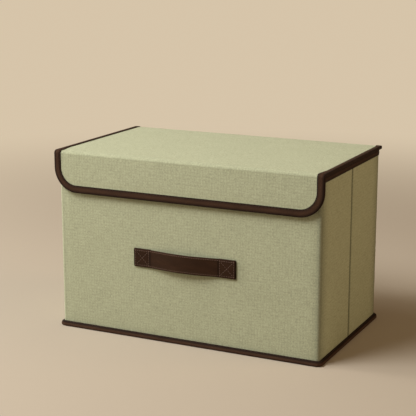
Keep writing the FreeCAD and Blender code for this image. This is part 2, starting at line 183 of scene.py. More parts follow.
def slack(u, v, inset, seed):
    """How far cloth stands off its board: loose in the middle, puckered and drawn in beside a seam."""
    swell = 0.22 + 0.2 * uneven(u, v, 90 * MM, seed) + 0.06 * uneven(u, v, 26 * MM, seed + 5)
    pucker = 0.1 * uneven(u, v, 6 * MM, seed + 9) * hump(inset - 3 * MM, 5 * MM)
    drawn = 0.1 * hump(inset, 2.2 * MM)
    loose = ease(inset / SLACK_REACH) * swell + pucker - drawn
    under_tape = -0.05
    return np.where(inset > 0, loose, under_tape) * MM


def stack(x, y, z):
    return np.stack(np.broadcast_arrays(x, y, z), axis=-1).astype(float)


def flat_map(across, along):
    """Where a grid of points lies on the flat cloth."""
    return stack(across, along, 0)[..., :2]


def lid_place(u, s, h):
    """The lid and its flap as one bent panel: s runs from the lid's back edge to the flap's lower edge."""
    turn = np.clip((s - LID_LENGTH) / FOLD_RADIUS, 0, pi / 2)
    before = np.maximum(LID_LENGTH - s, 0)
    after = np.maximum(s - FOLD_END, 0)
    y = before - FOLD_FRONT - (FOLD_RADIUS + h) * np.sin(turn)
    z = FOLD_TOP + (FOLD_RADIUS + h) * np.cos(turn) - after
    return stack(u, y, z)


def wall_place(side):
    """The outer face of the front (-1) or back (1) wall, carried round both upright corners."""
    def place(p, z, h):
        reach = np.abs(p)
        turn = pi / 2 * np.clip((reach - WALL_STRAIGHT) / WALL_ROUND, 0, 1)
        past = np.maximum(reach - CORNER_END, 0)
        round_x = WALL_STRAIGHT + np.maximum(CORNER_X + h, TIGHT) * np.sin(turn)
        round_y = WALL_Y - CORNER_Y + np.maximum(CORNER_Y + h, TIGHT) * np.cos(turn) - past
        x = np.where(reach < WALL_STRAIGHT, reach, round_x)
        y = np.where(reach < WALL_STRAIGHT, WALL_Y + h, round_y)
        return stack(np.sign(p) * x, side * y, z)
    return place


def side_place(side):
    """The outer face of the left (-1) or right (1) wall."""
    def place(y, z, h):
        return stack(side * (WALL_X + h), y, z)
    return place


def placed(name, content):
    """A new object of the scene, with a mesh, a lamp or a camera in it."""
    piece = bpy.data.objects.new(name, content)
    scene.collection.objects.link(piece)
    return piece


def final_mesh(piece):
    """A piece's mesh with its modifiers carried out."""
    return bpy.data.meshes.new_from_object(piece.evaluated_get(bpy.context.evaluated_depsgraph_get()))


def finished(name, points, faces, material, flat, marks):
    """A closed mesh with its faces outwards, the weave's map in metres and its marks of wear, painted
    highlight and painted shade.
    """
    mesh = bpy.data.meshes.new(name)
    mesh.from_pydata(points.tolist(), [], [list(map(int, face)) for face in faces])
    form = bmesh.new()
    form.from_mesh(mesh)
    if form.calc_volume(signed=True) < 0:
        mesh.flip_normals()
    form.free()
    layer = mesh.uv_layers.new(name="weave")
    order = np.zeros(len(mesh.loops), dtype=np.int32)
    mesh.loops.foreach_get("vertex_index", order)
    layer.data.foreach_set("uv", flat[order].astype(np.float32).ravel())
    for mark, strength in marks.items():
        attribute = mesh.attributes.new(mark, "FLOAT", "POINT")
        attribute.data.foreach_set("value", strength.astype(np.float32).ravel())
    mesh.shade_smooth()
    mesh.set_sharp_from_angle(angle=SHARP_EDGE)
    mesh.materials.append(material)
    return placed(name, mesh)


def sheet_between(name, outer, inner, flat, material, **marks):
    """A sheet of cloth between two matching grids of points."""
    rows, columns = outer.shape[:2]
    count = rows * columns
    number = np.arange(count).reshape(rows, columns)
    corners = [number[:-1, :-1], number[1:, :-1], number[1:, 1:], number[:-1, 1:]]
    faces = np.stack(corners, axis=-1).reshape(-1, 4)
    border = np.concatenate([number[0, :-1], number[:-1, -1], number[-1, :0:-1], number[:0:-1, 0]])
    following = np.roll(border, -1)
    rim = np.stack([border, following, following + count, border + count], axis=-1)
    points = np.concatenate([outer.reshape(-1, 3), inner.reshape(-1, 3)])
    both = np.tile(flat.reshape(-1, 2), (2, 1))
    marks = {mark: np.tile(strength.ravel(), 2) for mark, strength in marks.items()}
    return finished(name, points, [*faces, *(faces[:, ::-1] + count), *rim], material, both, marks)


def bent_sheet(name, place, u, v, top, bottom, material, shift=(0, 0), **marks):
    """A sheet between two heights above a panel, bent with it. The shift moves its flat map."""
    flat = flat_map(u + shift[0], v + shift[1])
    return sheet_between(name, place(u, v, top), place(u, v, bottom), flat, material, **marks)


def swept(name, rings, flat, material, **marks):
    """A closed section carried along a path and capped at both ends."""
    stations, count = rings.shape[:2]
    number = np.arange(stations * count).reshape(stations, count)
    turned = np.roll(number, -1, axis=1)
    corners = [number[:-1], turned[:-1], turned[1:], number[1:]]
    faces = [*np.stack(corners, axis=-1).reshape(-1, 4), number[0, ::-1], number[-1]]
    marks = {mark: np.broadcast_to(strength, number.shape) for mark, strength in marks.items()}
    return finished(name, rings.reshape(-1, 3), faces, material, flat.reshape(-1, 2), marks)


def lengths_along(points):
    """Distance along a line of points from its first."""
    steps = np.linalg.norm(np.diff(points, axis=0), axis=1)
    return np.concatenate([[0], np.cumsum(steps)])


def section_flat(section, along):
    """The flat map of a swept section: across the tape, then along it."""
    return flat_map(lengths_along(section)[None, :], along[:, None])


def tape_section(reach=TAPE_REACH, thick=TAPE, crown=0.28 * MM):
    """Tape folded over a panel's edge: (in from the edge, above the outer face), from its hidden side."""
    sewn_edge = [(1.0, 0.1), (0.985, 0.8), (0.95, 1.0), (0.9, 0.86), (0.865, 0.78), (0.83, 0.88)]
    upper = [(share * reach, height * thick) for share, height in sewn_edge]
    for share in (0.76, 0.62, 0.48, 0.34, 0.2, 0.08):
        upper.append((share * reach, thick + crown * sin(pi * share)))
    middle = -PANEL / 2
    for angle in np.radians(np.linspace(80, 0, 7)):
        depth = TAPE_LIP - (thick + TAPE_LIP) * cos(angle) ** 0.7
        upper.append((depth, middle + (PANEL / 2 + thick) * sin(angle) ** 0.6))
    lower = [(depth, 2 * middle - min(height, thick)) for depth, height in upper[-2::-1]]
    inner = [(reach, -PANEL), (0.0, -PANEL), (0.0, 0.0), (reach, 0.0)]
    return np.roll(np.array(upper + lower + inner), 2, axis=0)


WALL_TAPE = tape_section(WALL_TAPE_REACH)


def tape_marks(section):
    """Paler along the outer turn of the tape, part wear and part painted highlight, with a faint painted
    highlight down its middle; darker along both its edges, where it is sewn down and where it turns under,
    as painted shade.
    """
    depth = section[:, 0]
    reach = depth.max()
    # painted highlight on the outer turn, with its wear, and down the crown of the tape
    rubbed = 0.3 * hump(depth + TAPE, 0.4 * MM) + 0.1 * hump(depth - 0.5 * reach, 1.6 * MM)
    # painted shade along both edges of the tape
    sewn = hump(depth - reach, 2.9 * MM) + hump(depth - 0.5 * MM, 2.0 * MM)
    return {"rubbed": rubbed, "sewn": np.minimum(sewn, 1)}


def bound_edge(name, place, stations, material, section):
    """Tape along an edge. A station is (across, along, inward across, inward along) on the flat panel."""
    stations = np.array(stations)
    depth, height = section[:, 0], section[:, 1]
    across = stations[:, 0:1] + stations[:, 2:3] * depth
    along = stations[:, 1:2] + stations[:, 3:4] * depth
    flat = section_flat(section, lengths_along(stations[:, :2]))
    return swept(name, place(across, along, height), flat, material, **tape_marks(section))


def seam_line(place, stations, depth, height):
    """Where a row of stitches runs on a bound edge, and which way is out."""
    stations = np.array(stations)
    across = stations[:, 0] + stations[:, 2] * depth
    along = stations[:, 1] + stations[:, 3] * depth
    line = place(across, along, height)
    step_out = copysign(0.2 * MM, height + PANEL / 2)
    outward = place(across, along, height + step_out) - line
    return line, outward / np.linalg.norm(outward, axis=1, keepdims=True)


def tape_seams(place, stations, reach, inner_stations=None):
    """The two rows of stitches that hold a tape down, outside and inside its panel."""
    depth = SEAM_SHARE * reach
    return [seam_line(place, stations, depth, SEAM_HEIGHT),
            seam_line(place, inner_stations or stations, depth, -PANEL - SEAM_HEIGHT)]


# Finishes

def shader(name):
    material = bpy.data.materials.new(name)
    material.use_nodes = True
    return material, material.node_tree, material.node_tree.nodes["Principled BSDF"]


def give(tree, node, inputs):
    """Link or set a node's inputs."""
    for key, value in inputs.items():
        if isinstance(value, bpy.types.NodeSocket):
            tree.links.new(value, node.inputs[key])
        else:
            node.inputs[key].default_value = value


def add(tree, kind, inputs={}, output=0, **settings):
    """The output of a new node with these settings and inputs."""
    node = tree.nodes.new(kind)
    for key, value in settings.items():
        setattr(node, key, value)
    give(tree, node, inputs)
    return node.outputs[output]


def math_node(tree, operation, first, second):
    return add(tree, "ShaderNodeMath", {0: first, 1: second}, operation=operation)


def mixture(tree, parts):
    """The sum of several patterns, each with its own share."""
    shares = [math_node(tree, "MULTIPLY", pattern, share) for pattern, share in parts]
    total = shares[0]
    for share in shares[1:]:
        total = math_node(tree, "ADD", total, share)
    return total


def varied(tree, tone, pattern, middle, amount):
    """The tone with a pattern's rise and fall about its middle added to it."""
    swing = math_node(tree, "SUBTRACT", pattern, middle)
    return math_node(tree, "ADD", tone, math_node(tree, "MULTIPLY", swing, amount))


def tinted(colour, share):
    return tuple(min(1.0, part * share) for part in colour)


def ramp(tree, value, colour, stops):
    """One colour, darker and lighter by the share at each stop."""
    colours = add(tree, "ShaderNodeValToRGB", {"Fac": value})
    elements = colours.node.color_ramp.elements
    while len(elements) < len(stops):
        elements.new(1.0)
    for element, (place, share) in zip(elements, stops):
        element.position = place
        element.color = (*tinted(colour, share), 1)
    return colours


def flat_in_mm(tree, across=1.0, along=1.0):
    """The weave's map in millimetres, stretched by a share each way."""
    flat = add(tree, "ShaderNodeUVMap", uv_map="weave")
    stretch = (across / MM, along / MM, 0)
    return add(tree, "ShaderNodeVectorMath", {0: flat, 1: stretch}, operation="MULTIPLY")


def cloud(tree, across, along, detail=2.0):
    """Soft noise on the flat cloth, with so many lumps to a millimetre each way."""
    inputs = {"Vector": flat_in_mm(tree, across, along), "Scale": 1.0, "Detail": detail}
    return add(tree, "ShaderNodeTexNoise", inputs, noise_dimensions="2D")


def threads(tree, direction, pitch, distortion):
    """Threads side by side: a wave along one direction of the flat cloth."""
    once_per_unit = pi / 10
    inputs = {"Vector": flat_in_mm(tree), "Scale": once_per_unit / pitch, "Distortion": distortion,
              "Detail": 1.0, "Detail Scale": 1.5}
    return add(tree, "ShaderNodeTexWave", inputs, "Fac", bands_direction=direction)


def crossed(tree, pitch, distortion):
    """Threads that cross one another."""
    across, up = (threads(tree, direction, pitch, distortion) for direction in "XY")
    return math_node(tree, "MULTIPLY", across, up)


def marked(tree, shade, mark, amount, toward):
    """The shade drawn towards another colour as far as one of the piece's marks says: its wear with painted
    highlight, and its painted shade.
    """
    strength = add(tree, "ShaderNodeAttribute", output="Fac", attribute_name=mark)
    share = math_node(tree, "MULTIPLY", strength, amount)
    mix = {"Factor": share, 6: shade, 7: (*toward, 1)}
    return add(tree, "ShaderNodeMix", mix, 2, data_type="RGBA")


def dress(tree, bsdf, colour, height, strength, distance, roughness, specular=0.5):
    """Give a surface its colour, its relief and its shine."""
    bump = add(tree, "ShaderNodeBump", {"Height": height, "Strength": strength, "Distance": distance})
    give(tree, bsdf, {"Base Color": colour, "Normal": bump, "Roughness": roughness,
                      "Specular IOR Level": specular})


def sheen(tree, bsdf, weight, roughness, tint):
    give(tree, bsdf, {"Sheen Weight": weight, "Sheen Roughness": roughness, "Sheen Tint": (*tint, 1)})


def linen(name, colour, wear_and_highlight_tone, pitch, contrast):
    """Plain-woven cloth with uneven yarns and faint mottling, paler where worn and where a highlight is
    painted, and darker where shade is painted.
    """
    material, tree, bsdf = shader(name)
    yarns = []
    for short, long, share in ((0.8, 0.08, 0.17), (1.7, 0.3, 0.33)):
        yarns += [(cloud(tree, long, short, 1.0), share), (cloud(tree, short, long, 1.0), share)]
    yarn = mixture(tree, yarns)
    weave = crossed(tree, pitch, 0.8)
    tone = varied(tree, yarn, cloud(tree, 0.022, 0.03, 3.0), 0.5, 0.05)
    tone = varied(tree, tone, weave, 0.25, 0.06)
    tone = varied(tree, tone, crossed(tree, 3 * pitch, 0.5), 0.25, 0.07)
    shade = ramp(tree, tone, colour, [(0.36, 1 - contrast), (0.5, 1), (0.64, 1 + contrast)])
    # paler where worn and where a highlight is painted, then darker where shade is painted
    shade = marked(tree, shade, "rubbed", yarn, wear_and_highlight_tone)
    shade = marked(tree, shade, "sewn", 0.85, tinted(colour, 0.18))
    height = mixture(tree, [(yarn, 2.2), (weave, 0.5)])
    dress(tree, bsdf, shade, height, strength=0.55, distance=0.25 * MM, roughness=0.92, specular=0.12)
    sheen(tree, bsdf, weight=0.05, roughness=0.5, tint=(0.93, 0.95, 0.95))
    return material


def ribbed(name, colour, wear_and_highlight_tone, pitch, relief):
    """Narrow woven tape with ribs across it, a little paler where worn and where a highlight is painted, and
    darker where shade is painted.
    """
    material, tree, bsdf = shader(name)
    ribs = threads(tree, "Y", pitch, 0.35)
    yarn = cloud(tree, 0.5, 1.6)
    faded = cloud(tree, 0.12, 0.04, 3.0)
    tone = varied(tree, mixture(tree, [(yarn, 0.6), (faded, 0.4)]), ribs, 0.5, 0.16)
    shade = ramp(tree, tone, colour, [(0.25, 0.65), (0.5, 1), (0.75, 1.45)])
    # paler where worn and where a highlight is painted, then darker where shade is painted
    shade = marked(tree, shade, "rubbed", yarn, wear_and_highlight_tone)
    shade = marked(tree, shade, "sewn", 0.85, tinted(colour, 0.15))
    height = mixture(tree, [(ribs, 0.8), (yarn, 0.5)])
    dress(tree, bsdf, shade, height, strength=0.6, distance=relief, roughness=0.85, specular=0.08)
    sheen(tree, bsdf, weight=0.015, roughness=0.4, tint=(0.9, 0.72, 0.62))
    return material


def sewing_thread(name, colour):
    """Twisted thread: fine slanting strands along each stitch."""
    material, tree, bsdf = shader(name)
    place = add(tree, "ShaderNodeTexCoord", output="Object")
    strands = add(tree, "ShaderNodeTexWave", {"Vector": place, "Scale": 900.0, "Distortion": 1.0}, "Fac",
                  bands_direction="DIAGONAL")
    shade = ramp(tree, strands, colour, [(0.1, 0.7), (0.9, 1.2)])
    dress(tree, bsdf, shade, strands, strength=0.4, distance=0.05 * MM, roughness=0.6, specular=0.25)
    sheen(tree, bsdf, weight=0.06, roughness=0.4, tint=(0.9, 0.7, 0.6))
    return material


def chipboard(name, colour):
    """Grey-brown chipboard with pressed fibres and darker flecks."""
    material, tree, bsdf = shader(name)
    place = add(tree, "ShaderNodeTexCoord", output="Object")
    fibres = add(tree, "ShaderNodeTexNoise", {"Vector": place, "Scale": 700.0, "Detail": 4.0})
    flecks = add(tree, "ShaderNodeTexVoronoi", {"Vector": place, "Scale": 260.0})
    tone = mixture(tree, [(fibres, 0.7), (flecks, 0.4)])
    shade = ramp(tree, tone, colour, [(0.3, 0.7), (0.55, 1), (0.8, 1.15)])
    dress(tree, bsdf, shade, fibres, strength=0.4, distance=0.1 * MM, roughness=0.95)
    return material


SAGE = (0.355, 0.362, 0.232)
# the tone that worn places and painted highlights on the cloth are drawn towards
SAGE_WEAR_AND_HIGHLIGHT = (0.46, 0.465, 0.335)
PALE_SAGE = (0.48, 0.485, 0.37)
BROWN = (0.045, 0.0214, 0.0112)
# the tone that worn places and painted highlights on the tape and webbing are drawn towards
BROWN_WEAR_AND_HIGHLIGHT = (0.11, 0.062, 0.042)
DARK_BROWN = (0.029, 0.013, 0.0058)
THREAD_BROWN = (0.045, 0.021, 0.012)
THREAD_TAN = (0.115, 0.064, 0.04)
BOARD_GREY = (0.27, 0.20, 0.13)
cloth = linen("sage_linen", SAGE, SAGE_WEAR_AND_HIGHLIGHT, pitch=1.4, contrast=0.22)
lining = linen("pale_lining", PALE_SAGE, PALE_SAGE, pitch=0.6, contrast=0.1)
binding = ribbed("brown_tape", BROWN, BROWN_WEAR_AND_HIGHLIGHT, pitch=0.75, relief=0.12 * MM)
webbing = ribbed("brown_webbing", DARK_BROWN, BROWN_WEAR_AND_HIGHLIGHT, pitch=1.1, relief=0.2 * MM)
thread = sewing_thread("brown_thread", THREAD_BROWN)
handle_thread = sewing_thread("tan_thread", THREAD_TAN)
board = chipboard("grey_chipboard", BOARD_GREY)

for node in nodes.values():
    if node.name.endswith("_board"):
        node.data.materials.clear()
        node.data.materials.append(board)


# Stitches, laid along seam lines

def stitch_tree():
    """Short twisted stitches along every seam line, a little out of line with one another."""
    tree = bpy.data.node_groups.new("stitch_row", "GeometryNodeTree")
    sockets = {"Seam": "Geometry", "Stitch pitch": "Float", "Stitch length": "Float",
               "Thread width": "Float", "Thread": "Material"}
    for name, kind in sockets.items():
        tree.interface.new_socket(name, in_out="INPUT", socket_type="NodeSocket" + kind)
    tree.interface.new_socket("Stitches", in_out="OUTPUT", socket_type="NodeSocketGeometry")

    given = tree.nodes.new("NodeGroupInput").outputs
    outward = add(tree, "GeometryNodeInputNamedAttribute", {"Name": "outward"}, data_type="FLOAT_VECTOR")
    line = add(tree, "GeometryNodeMeshToCurve", {"Mesh": given["Seam"]})
    pitch, length, width = given["Stitch pitch"], given["Stitch length"], given["Thread width"]
    even = add(tree, "GeometryNodeResampleCurve", {"Curve": line, "Length": pitch}, mode="LENGTH")
    inwards = add(tree, "ShaderNodeVectorMath", {0: outward, "Scale": -THREAD_SINK}, operation="SCALE")
    sunk = add(tree, "GeometryNodeSetPosition", {"Geometry": even, "Offset": inwards})
    tangent = add(tree, "GeometryNodeInputTangent")
    aim = add(tree, "FunctionNodeAxesToRotation", {"Primary Axis": outward, "Secondary Axis": tangent},
              primary_axis="Z", secondary_axis="X")
    tilt = add(tree, "FunctionNodeRandomValue", {2: -0.07, 3: 0.07, "Seed": 7}, 1, data_type="FLOAT")
    twist = add(tree, "FunctionNodeAxisAngleToRotation", {"Axis": (0, 0, 1), "Angle": tilt})
    turned = add(tree, "FunctionNodeRotateRotation", {"Rotation": aim, "Rotate By": twist},
                 rotation_space="LOCAL")
    size = add(tree, "ShaderNodeCombineXYZ", {"X": length, "Y": width, "Z": width})
    bead = add(tree, "GeometryNodeMeshUVSphere", {"Segments": 6, "Rings": 4, "Radius": 0.5})
    placing = {"Points": sunk, "Instance": bead, "Rotation": turned, "Scale": size}
    row = add(tree, "GeometryNodeInstanceOnPoints", placing)
    real = add(tree, "GeometryNodeRealizeInstances", {"Geometry": row})
    smooth = add(tree, "GeometryNodeSetShadeSmooth", {"Geometry": real})
    coloured = add(tree, "GeometryNodeSetMaterial", {"Geometry": smooth, "Material": given["Thread"]})
    give(tree, tree.nodes.new("NodeGroupOutput"), {"Stitches": coloured})
    return tree


STITCH_TREE = stitch_tree()


def stitches(name, seams, pitch=STITCH_PITCH, length=STITCH_LENGTH, width=THREAD_WIDTH, yarn=thread):
    """One mesh of stitches along several seams, each a line of points with its outward directions."""
    points, edges, outward = [], [], []
    for line, out in seams:
        first = len(points)
        points += line.tolist()
        outward += out.tolist()
        edges += [(first + n, first + n + 1) for n in range(len(line) - 1)]
    mesh = bpy.data.meshes.new(name + "_seam")
    mesh.from_pydata(points, edges, [])
    attribute = mesh.attributes.new("outward", "FLOAT_VECTOR", "POINT")
    attribute.data.foreach_set("vector", np.array(outward, dtype=np.float32).ravel())
    seam = placed(name + "_seam", mesh)
    modifier = seam.modifiers.new("stitches", "NODES")
    modifier.node_group = STITCH_TREE
    values = {"Stitch pitch": pitch, "Stitch length": length, "Thread width": width, "Thread": yarn}
    for item in STITCH_TREE.interface.items_tree:
        if item.name in values:
            modifier[item.identifier] = values[item.name]
    rows = final_mesh(seam)
    bpy.data.objects.remove(seam)
    rows.name = name
    return placed(name, rows)


def joined(join, **finishes):
    """Join pieces to what moves them. The finish names they are listed under are not used."""
    for finish, pieces in finishes.items():
        for piece in pieces:
            join(piece)


def carried(body, **finishes):
    joined(lambda piece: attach(piece, body), **finishes)


# Lid and flap

def lid_half_width(s):
    """Half the width of the lid's cloth at s, with the rounded corners of the lid and flap."""
    flap_radius, lid_radius = FLAP_CORNER - EDGE_INSET, LID_CORNER - EDGE_INSET
    down = np.clip(s - (FLAP_END - FLAP_CORNER), 0, flap_radius)
    back = np.clip(LID_CORNER - s, 0, lid_radius)
    flap_loss = flap_radius - np.sqrt(flap_radius ** 2 - down ** 2)
    lid_loss = lid_radius - np.sqrt(lid_radius ** 2 - back ** 2)
    return LID_X - EDGE_INSET - flap_loss - lid_loss


def lid_tape_share(s):
    """The tape lies narrower on the lid's top, and widens to its full reach just before the fold."""
    widening = ease((s - LID_LENGTH + 24 * MM) / (20 * MM))
    return LID_TAPE_SHARE + (1 - LID_TAPE_SHARE) * widening


def lid_inset(u, s):
    """Distance in from the inner edge of the lid's tape."""
    across = LID_X - np.abs(u)
    down = FLAP_END - s
    corner = FLAP_CORNER - np.hypot(FLAP_CORNER - across, FLAP_CORNER - down)
    in_corner = (across < FLAP_CORNER) & (down < FLAP_CORNER)
    beside = np.minimum(across - TAPE_REACH * lid_tape_share(s), down - TAPE_REACH)
    return np.where(in_corner, corner - TAPE_REACH, beside)


def lid_sheet(name, step, top, bottom, material, relief):
    """Lid, fold and flap in one length. With relief, it is loose on its boards and drawn in at the fold."""
    ends = [LID_START, LID_LENGTH - EASE, FOLD_END + EASE, FLAP_END - EDGE_INSET]
    s = spread(ends, [step, 0.4 * MM, step])
    shares, ss = np.meshgrid(run(-1, 1, step / LID_X), s)
    u = shares * lid_half_width(ss)
    height = 0.0
    if relief:
        inset = lid_inset(u, ss)
        loose = slack(u, ss, inset, 2.0) * ease((ss - LID_START) / (15 * MM))
        drawn = (0.16 + 0.05 * uneven(u, ss, 55 * MM, 61.0)) * MM
        from_fold = np.maximum(np.maximum(LID_LENGTH - ss, ss - FOLD_END), 0)
        height = loose - drawn * hump(from_fold, 8 * MM) * ease(inset / (6 * MM))
    # painted shade along the middle of the fold, so its round does not read lighter than the lid
    painted_fold_shade = 0.07 * hump(ss - LID_LENGTH - FOLD_LENGTH / 2, 2.8 * MM)
    return bent_sheet(name, lid_place, u, ss, top + height, bottom, material, sewn=painted_fold_shade)


def lid_stations():
    """Along the bound edge, from the left back corner down the flap and up to the right back corner."""
    round_u = LID_X - LID_CORNER
    back = [(-round_u + 5 * MM, 0, 0, 1)]
    for a in np.radians(run(0, 90, 9)):
        across, along = sin(a), cos(a)
        back.append((-round_u - LID_CORNER * across, LID_CORNER * (1 - along), across, along))
    left = [(u, s, LID_TAPE_SHARE * across, LID_TAPE_SHARE * along) for u, s, across, along in back]
    straight = spread([LID_CORNER, LID_LENGTH - EASE, FOLD_END + EASE, FLAP_END - FLAP_CORNER],
                      [4 * MM, 0.45 * MM, 4 * MM])
    left += [(-LID_X, s, float(lid_tape_share(s)), 0) for s in straight[1:]]
    centre_u, centre_s = LID_X - FLAP_CORNER, FLAP_END - FLAP_CORNER
    for a in np.radians(run(0, 90, 5))[1:]:
        across, along = cos(a), sin(a)
        left.append((-centre_u - FLAP_CORNER * across, centre_s + FLAP_CORNER * along, across, -along))
    bottom = [(u, FLAP_END, 0, -1) for u in run(-centre_u, centre_u, 5 * MM)[1:-1]]
    right = [(-u, s, -across, along) for u, s, across, along in left[::-1]]
    return left + bottom + right


def lid_back_hem():
    """The lid's cloth turned under along its back edge, below the hinge, with its row of stitches."""
    under = -PANEL / MM
    outline = [(9, under + 0.1), (9, under - 0.2), (1, under - 0.3), (0.2, under - 0.25),
               (-0.25, under + 0.1), (-0.4, under + 0.6), (-0.4, -0.9), (-0.25, -0.5), (0.2, -0.4),
               (0.2, -0.8), (0.1, under + 0.1)]
    section = np.array(outline) * MM
    end = LID_X - LID_CORNER - 1.5 * MM
    across = run(-end, end, 4 * MM)
    u, s = np.meshgrid(across, section[:, 0], indexing="ij")
    hem = swept("lid_back_hem", lid_place(u, s, section[:, 1]), section_flat(section, across), cloth)
    line = lid_place(across, 7 * MM, -PANEL - 0.2 * MM)
    return hem, (line, np.tile((0.0, 0.0, -1.0), (len(across), 1)))


def across_fold(piece):
    """Bake a piece's placement into its mesh."""
    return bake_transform(piece)


def make_lid():
    stations = lid_stations()
    skin = lid_sheet("lid_and_flap_cloth", FINE, 0.0, -CLOTH, cloth, True)
    inside = lid_sheet("lid_and_flap_lining", COARSE, -PANEL, -PANEL + CLOTH, lining, False)
    tape = bound_edge("lid_and_flap_binding", lid_place, stations, binding, tape_section())
    past_corners = [station for station in stations if station[1] > 2 * LID_CORNER]
    hem, hem_seam = lid_back_hem()
    rows = stitches("lid_and_flap_stitches", [*tape_seams(lid_place, past_corners, TAPE_REACH), hem_seam])
    joined(across_fold, cloth=[skin], lining=[inside], binding=[tape, rows])
    carried("lid", cloth=[hem])
    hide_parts("lid_cloth", "flap_cloth", "flap_fold_cloth")
    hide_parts("lid_lining", "flap_lining")
    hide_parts("lid_left_tape", "lid_right_tape", "flap_tape")


# Front and back walls

def wall_sheet(name, side, top, held_above):
    """The outer cloth of the front or back wall, from one side wall round to the other."""
    soft = WALL_STRAIGHT - 2 * MM
    p = spread([-WALL_END, -soft, soft, WALL_END], [0.6 * MM, FINE, 0.6 * MM])
    pp, share = np.meshgrid(p, run(0, 1, FINE / WALL_TOP))
    reach = np.abs(pp)
    to_corner, to_end = WALL_STRAIGHT - reach, WALL_END - reach
    tops = WALL_TOP + (top - WALL_TOP) * ease(to_corner / (2 * MM))
    zz = WALL_LOW + share * (tops - WALL_LOW)
    inset = np.minimum(zz - FOOT_TOP, held_above - zz)
    height = slack(pp, zz, inset, 11.0 + side) * ease(to_corner / (12 * MM))
    height -= 0.12 * MM * hump(np.maximum(to_corner, 0), 6 * MM) + 0.5 * MM * hump(to_end, 1.0 * MM)
    # paler at the middle of each upright corner, where the cloth is worn
    rubbed = 0.3 * hump(reach - WALL_STRAIGHT - WALL_ROUND / 2, 1.6 * MM)
    # painted shade beside each upright corner, stronger on the right, and where the cloth ends against the
    # side wall
    painted_corner_shade = np.where(pp > 0, 0.55, 0.2) * hump(reach - CORNER_END, 7.5 * MM)
    sewn = np.maximum(0.5 * hump(to_end, 1.6 * MM), painted_corner_shade)
    return bent_sheet(name, wall_place(side), pp, zz, height, -CLOTH, cloth, rubbed=rubbed, sewn=sewn)


def wall_lining(name, side, top):
    xx, zz = np.meshgrid(run(-INNER_X, INNER_X, COARSE), run(WALL_LOW, top, COARSE))
    inner = stack(xx, side * INNER_Y, zz)
    return sheet_between(name, inner, inner + (0, side * CLOTH, 0), flat_map(xx, zz), lining)


def foot_round(degrees):
    """A point on the upper round of the bottom binding: out from the wall's face, above the floor."""
    across, up = cos(radians(degrees)), sin(radians(degrees))
    out = FOOT_CURVE + (FOOT_OUT - FOOT_CURVE) * abs(across) ** 1.1
    return out, FOOT_WIDEST + (FOOT_TOP - FOOT_WIDEST) * up


def foot_section():
    """The bottom binding, from its hidden upper edge round to its hidden lower edge."""
    outline = [(0.0, 1.0 * MM), (0.0, FOOT_TOP - 0.9 * MM), (0.15 * MM, FOOT_TOP - 0.3 * MM)]
    outline += [foot_round(degrees) for degrees in np.linspace(90, 0, 10)]
    for angle in np.radians(np.linspace(0, 90, 7)[1:]):
        out = FOOT_UNDER + (FOOT_OUT - FOOT_UNDER) * cos(angle) ** 0.8
        outline.append((out, FOOT_UNDER - FOOT_UNDER * sin(angle) ** 0.8))
    outline += [(-PANEL, 0.0), (-PANEL, 1.0 * MM)]
    return np.array(outline)


def foot_along(name, place, stations):
    """The bottom binding along one wall."""
    section = foot_section()
    along, out = np.meshgrid(stations, section[:, 0], indexing="ij")
    height = section[:, 1]
    # paler where the binding stands out furthest: a painted highlight, with some wear
    rubbed = 0.4 * hump(height - 2.8 * MM, 1.2 * MM) * (section[:, 0] > 0)
    # painted shade along its top against the wall and its bottom at the floor
    sewn = np.minimum(ease((height - 4.0 * MM) / (1.8 * MM)) + hump(height, 0.9 * MM), 1)
    flat = section_flat(section, stations)
    return swept(name, place(along, height, out), flat, binding, rubbed=rubbed, sewn=sewn)


def foot_seam(place, stations):
    """The row of stitches along the upper round of the bottom binding."""
    out, height = foot_round(64)
    out_before, height_before = foot_round(66)
    slope = Vector((out - out_before, height - height_before)).normalized()
    line = place(stations, height, out)
    above = place(stations, height + MM * slope.x, out - MM * slope.y)
    return line, (above - line) / MM


def corner_sleeve(name, side_x, side_y):
    """Cloth behind an upright corner, which shows when the side wall folds in."""
    outer, inner = 2.7 * MM, 2.3 * MM

    def place(arc, z, radius):
        x = side_x * (CORNER_AXIS[0] + radius * np.cos(arc / outer))
        return stack(x, side_y * (CORNER_AXIS[1] - radius * np.sin(arc / outer)), z)

    arcs = np.radians(run(-50, 62, 8)) * outer
    arcs, zz = np.meshgrid(arcs, run(WALL_LOW + 6 * MM, WALL_TOP - 9 * MM, 12 * MM))
    return bent_sheet(name, place, arcs, zz, outer, inner, cloth)


ROUND_WALL = spread([-WALL_END, -WALL_STRAIGHT, WALL_STRAIGHT, WALL_END], [0.5 * MM, 4 * MM, 0.5 * MM])


def make_wall(name, side, top, held_above, edge_seams):
    """The front or back wall under its bound upper edge, with the cloth behind its corners."""
    place = wall_place(side)
    skin = wall_sheet(name + "_wall_cloth", side, top, held_above)
    inside = wall_lining(name + "_wall_lining", side, top)
    foot = foot_along(name + "_bottom_binding", place, ROUND_WALL)
    rows = stitches(name + "_stitches", [*edge_seams, foot_seam(place, ROUND_WALL)])
    left = corner_sleeve(name + "_left_corner_cloth", -1, side)
    right = corner_sleeve(name + "_right_corner_cloth", 1, side)
    carried(name, cloth=[skin, left, right], lining=[inside], binding=[foot, rows])
    for piece, part in ((skin, "_cloth"), (inside, "_lining"), (foot, "_bottom_tape")):
        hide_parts(name + part)


def make_front():
    place = wall_place(-1)
    stations = [(p, WALL_TOP, 0, -1) for p in ROUND_WALL]
    tape = bound_edge("front_top_binding", place, stations, binding, WALL_TAPE)
    carried("front", binding=[tape])
    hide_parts("front_top_tape")
    between_sides = [station for station in stations if abs(station[0]) < WALL_STRAIGHT]
    seams = tape_seams(place, stations, WALL_TAPE_REACH, between_sides)
    make_wall("front", -1, WALL_TOP, TAPE_TOP - WALL_TAPE_REACH, seams)


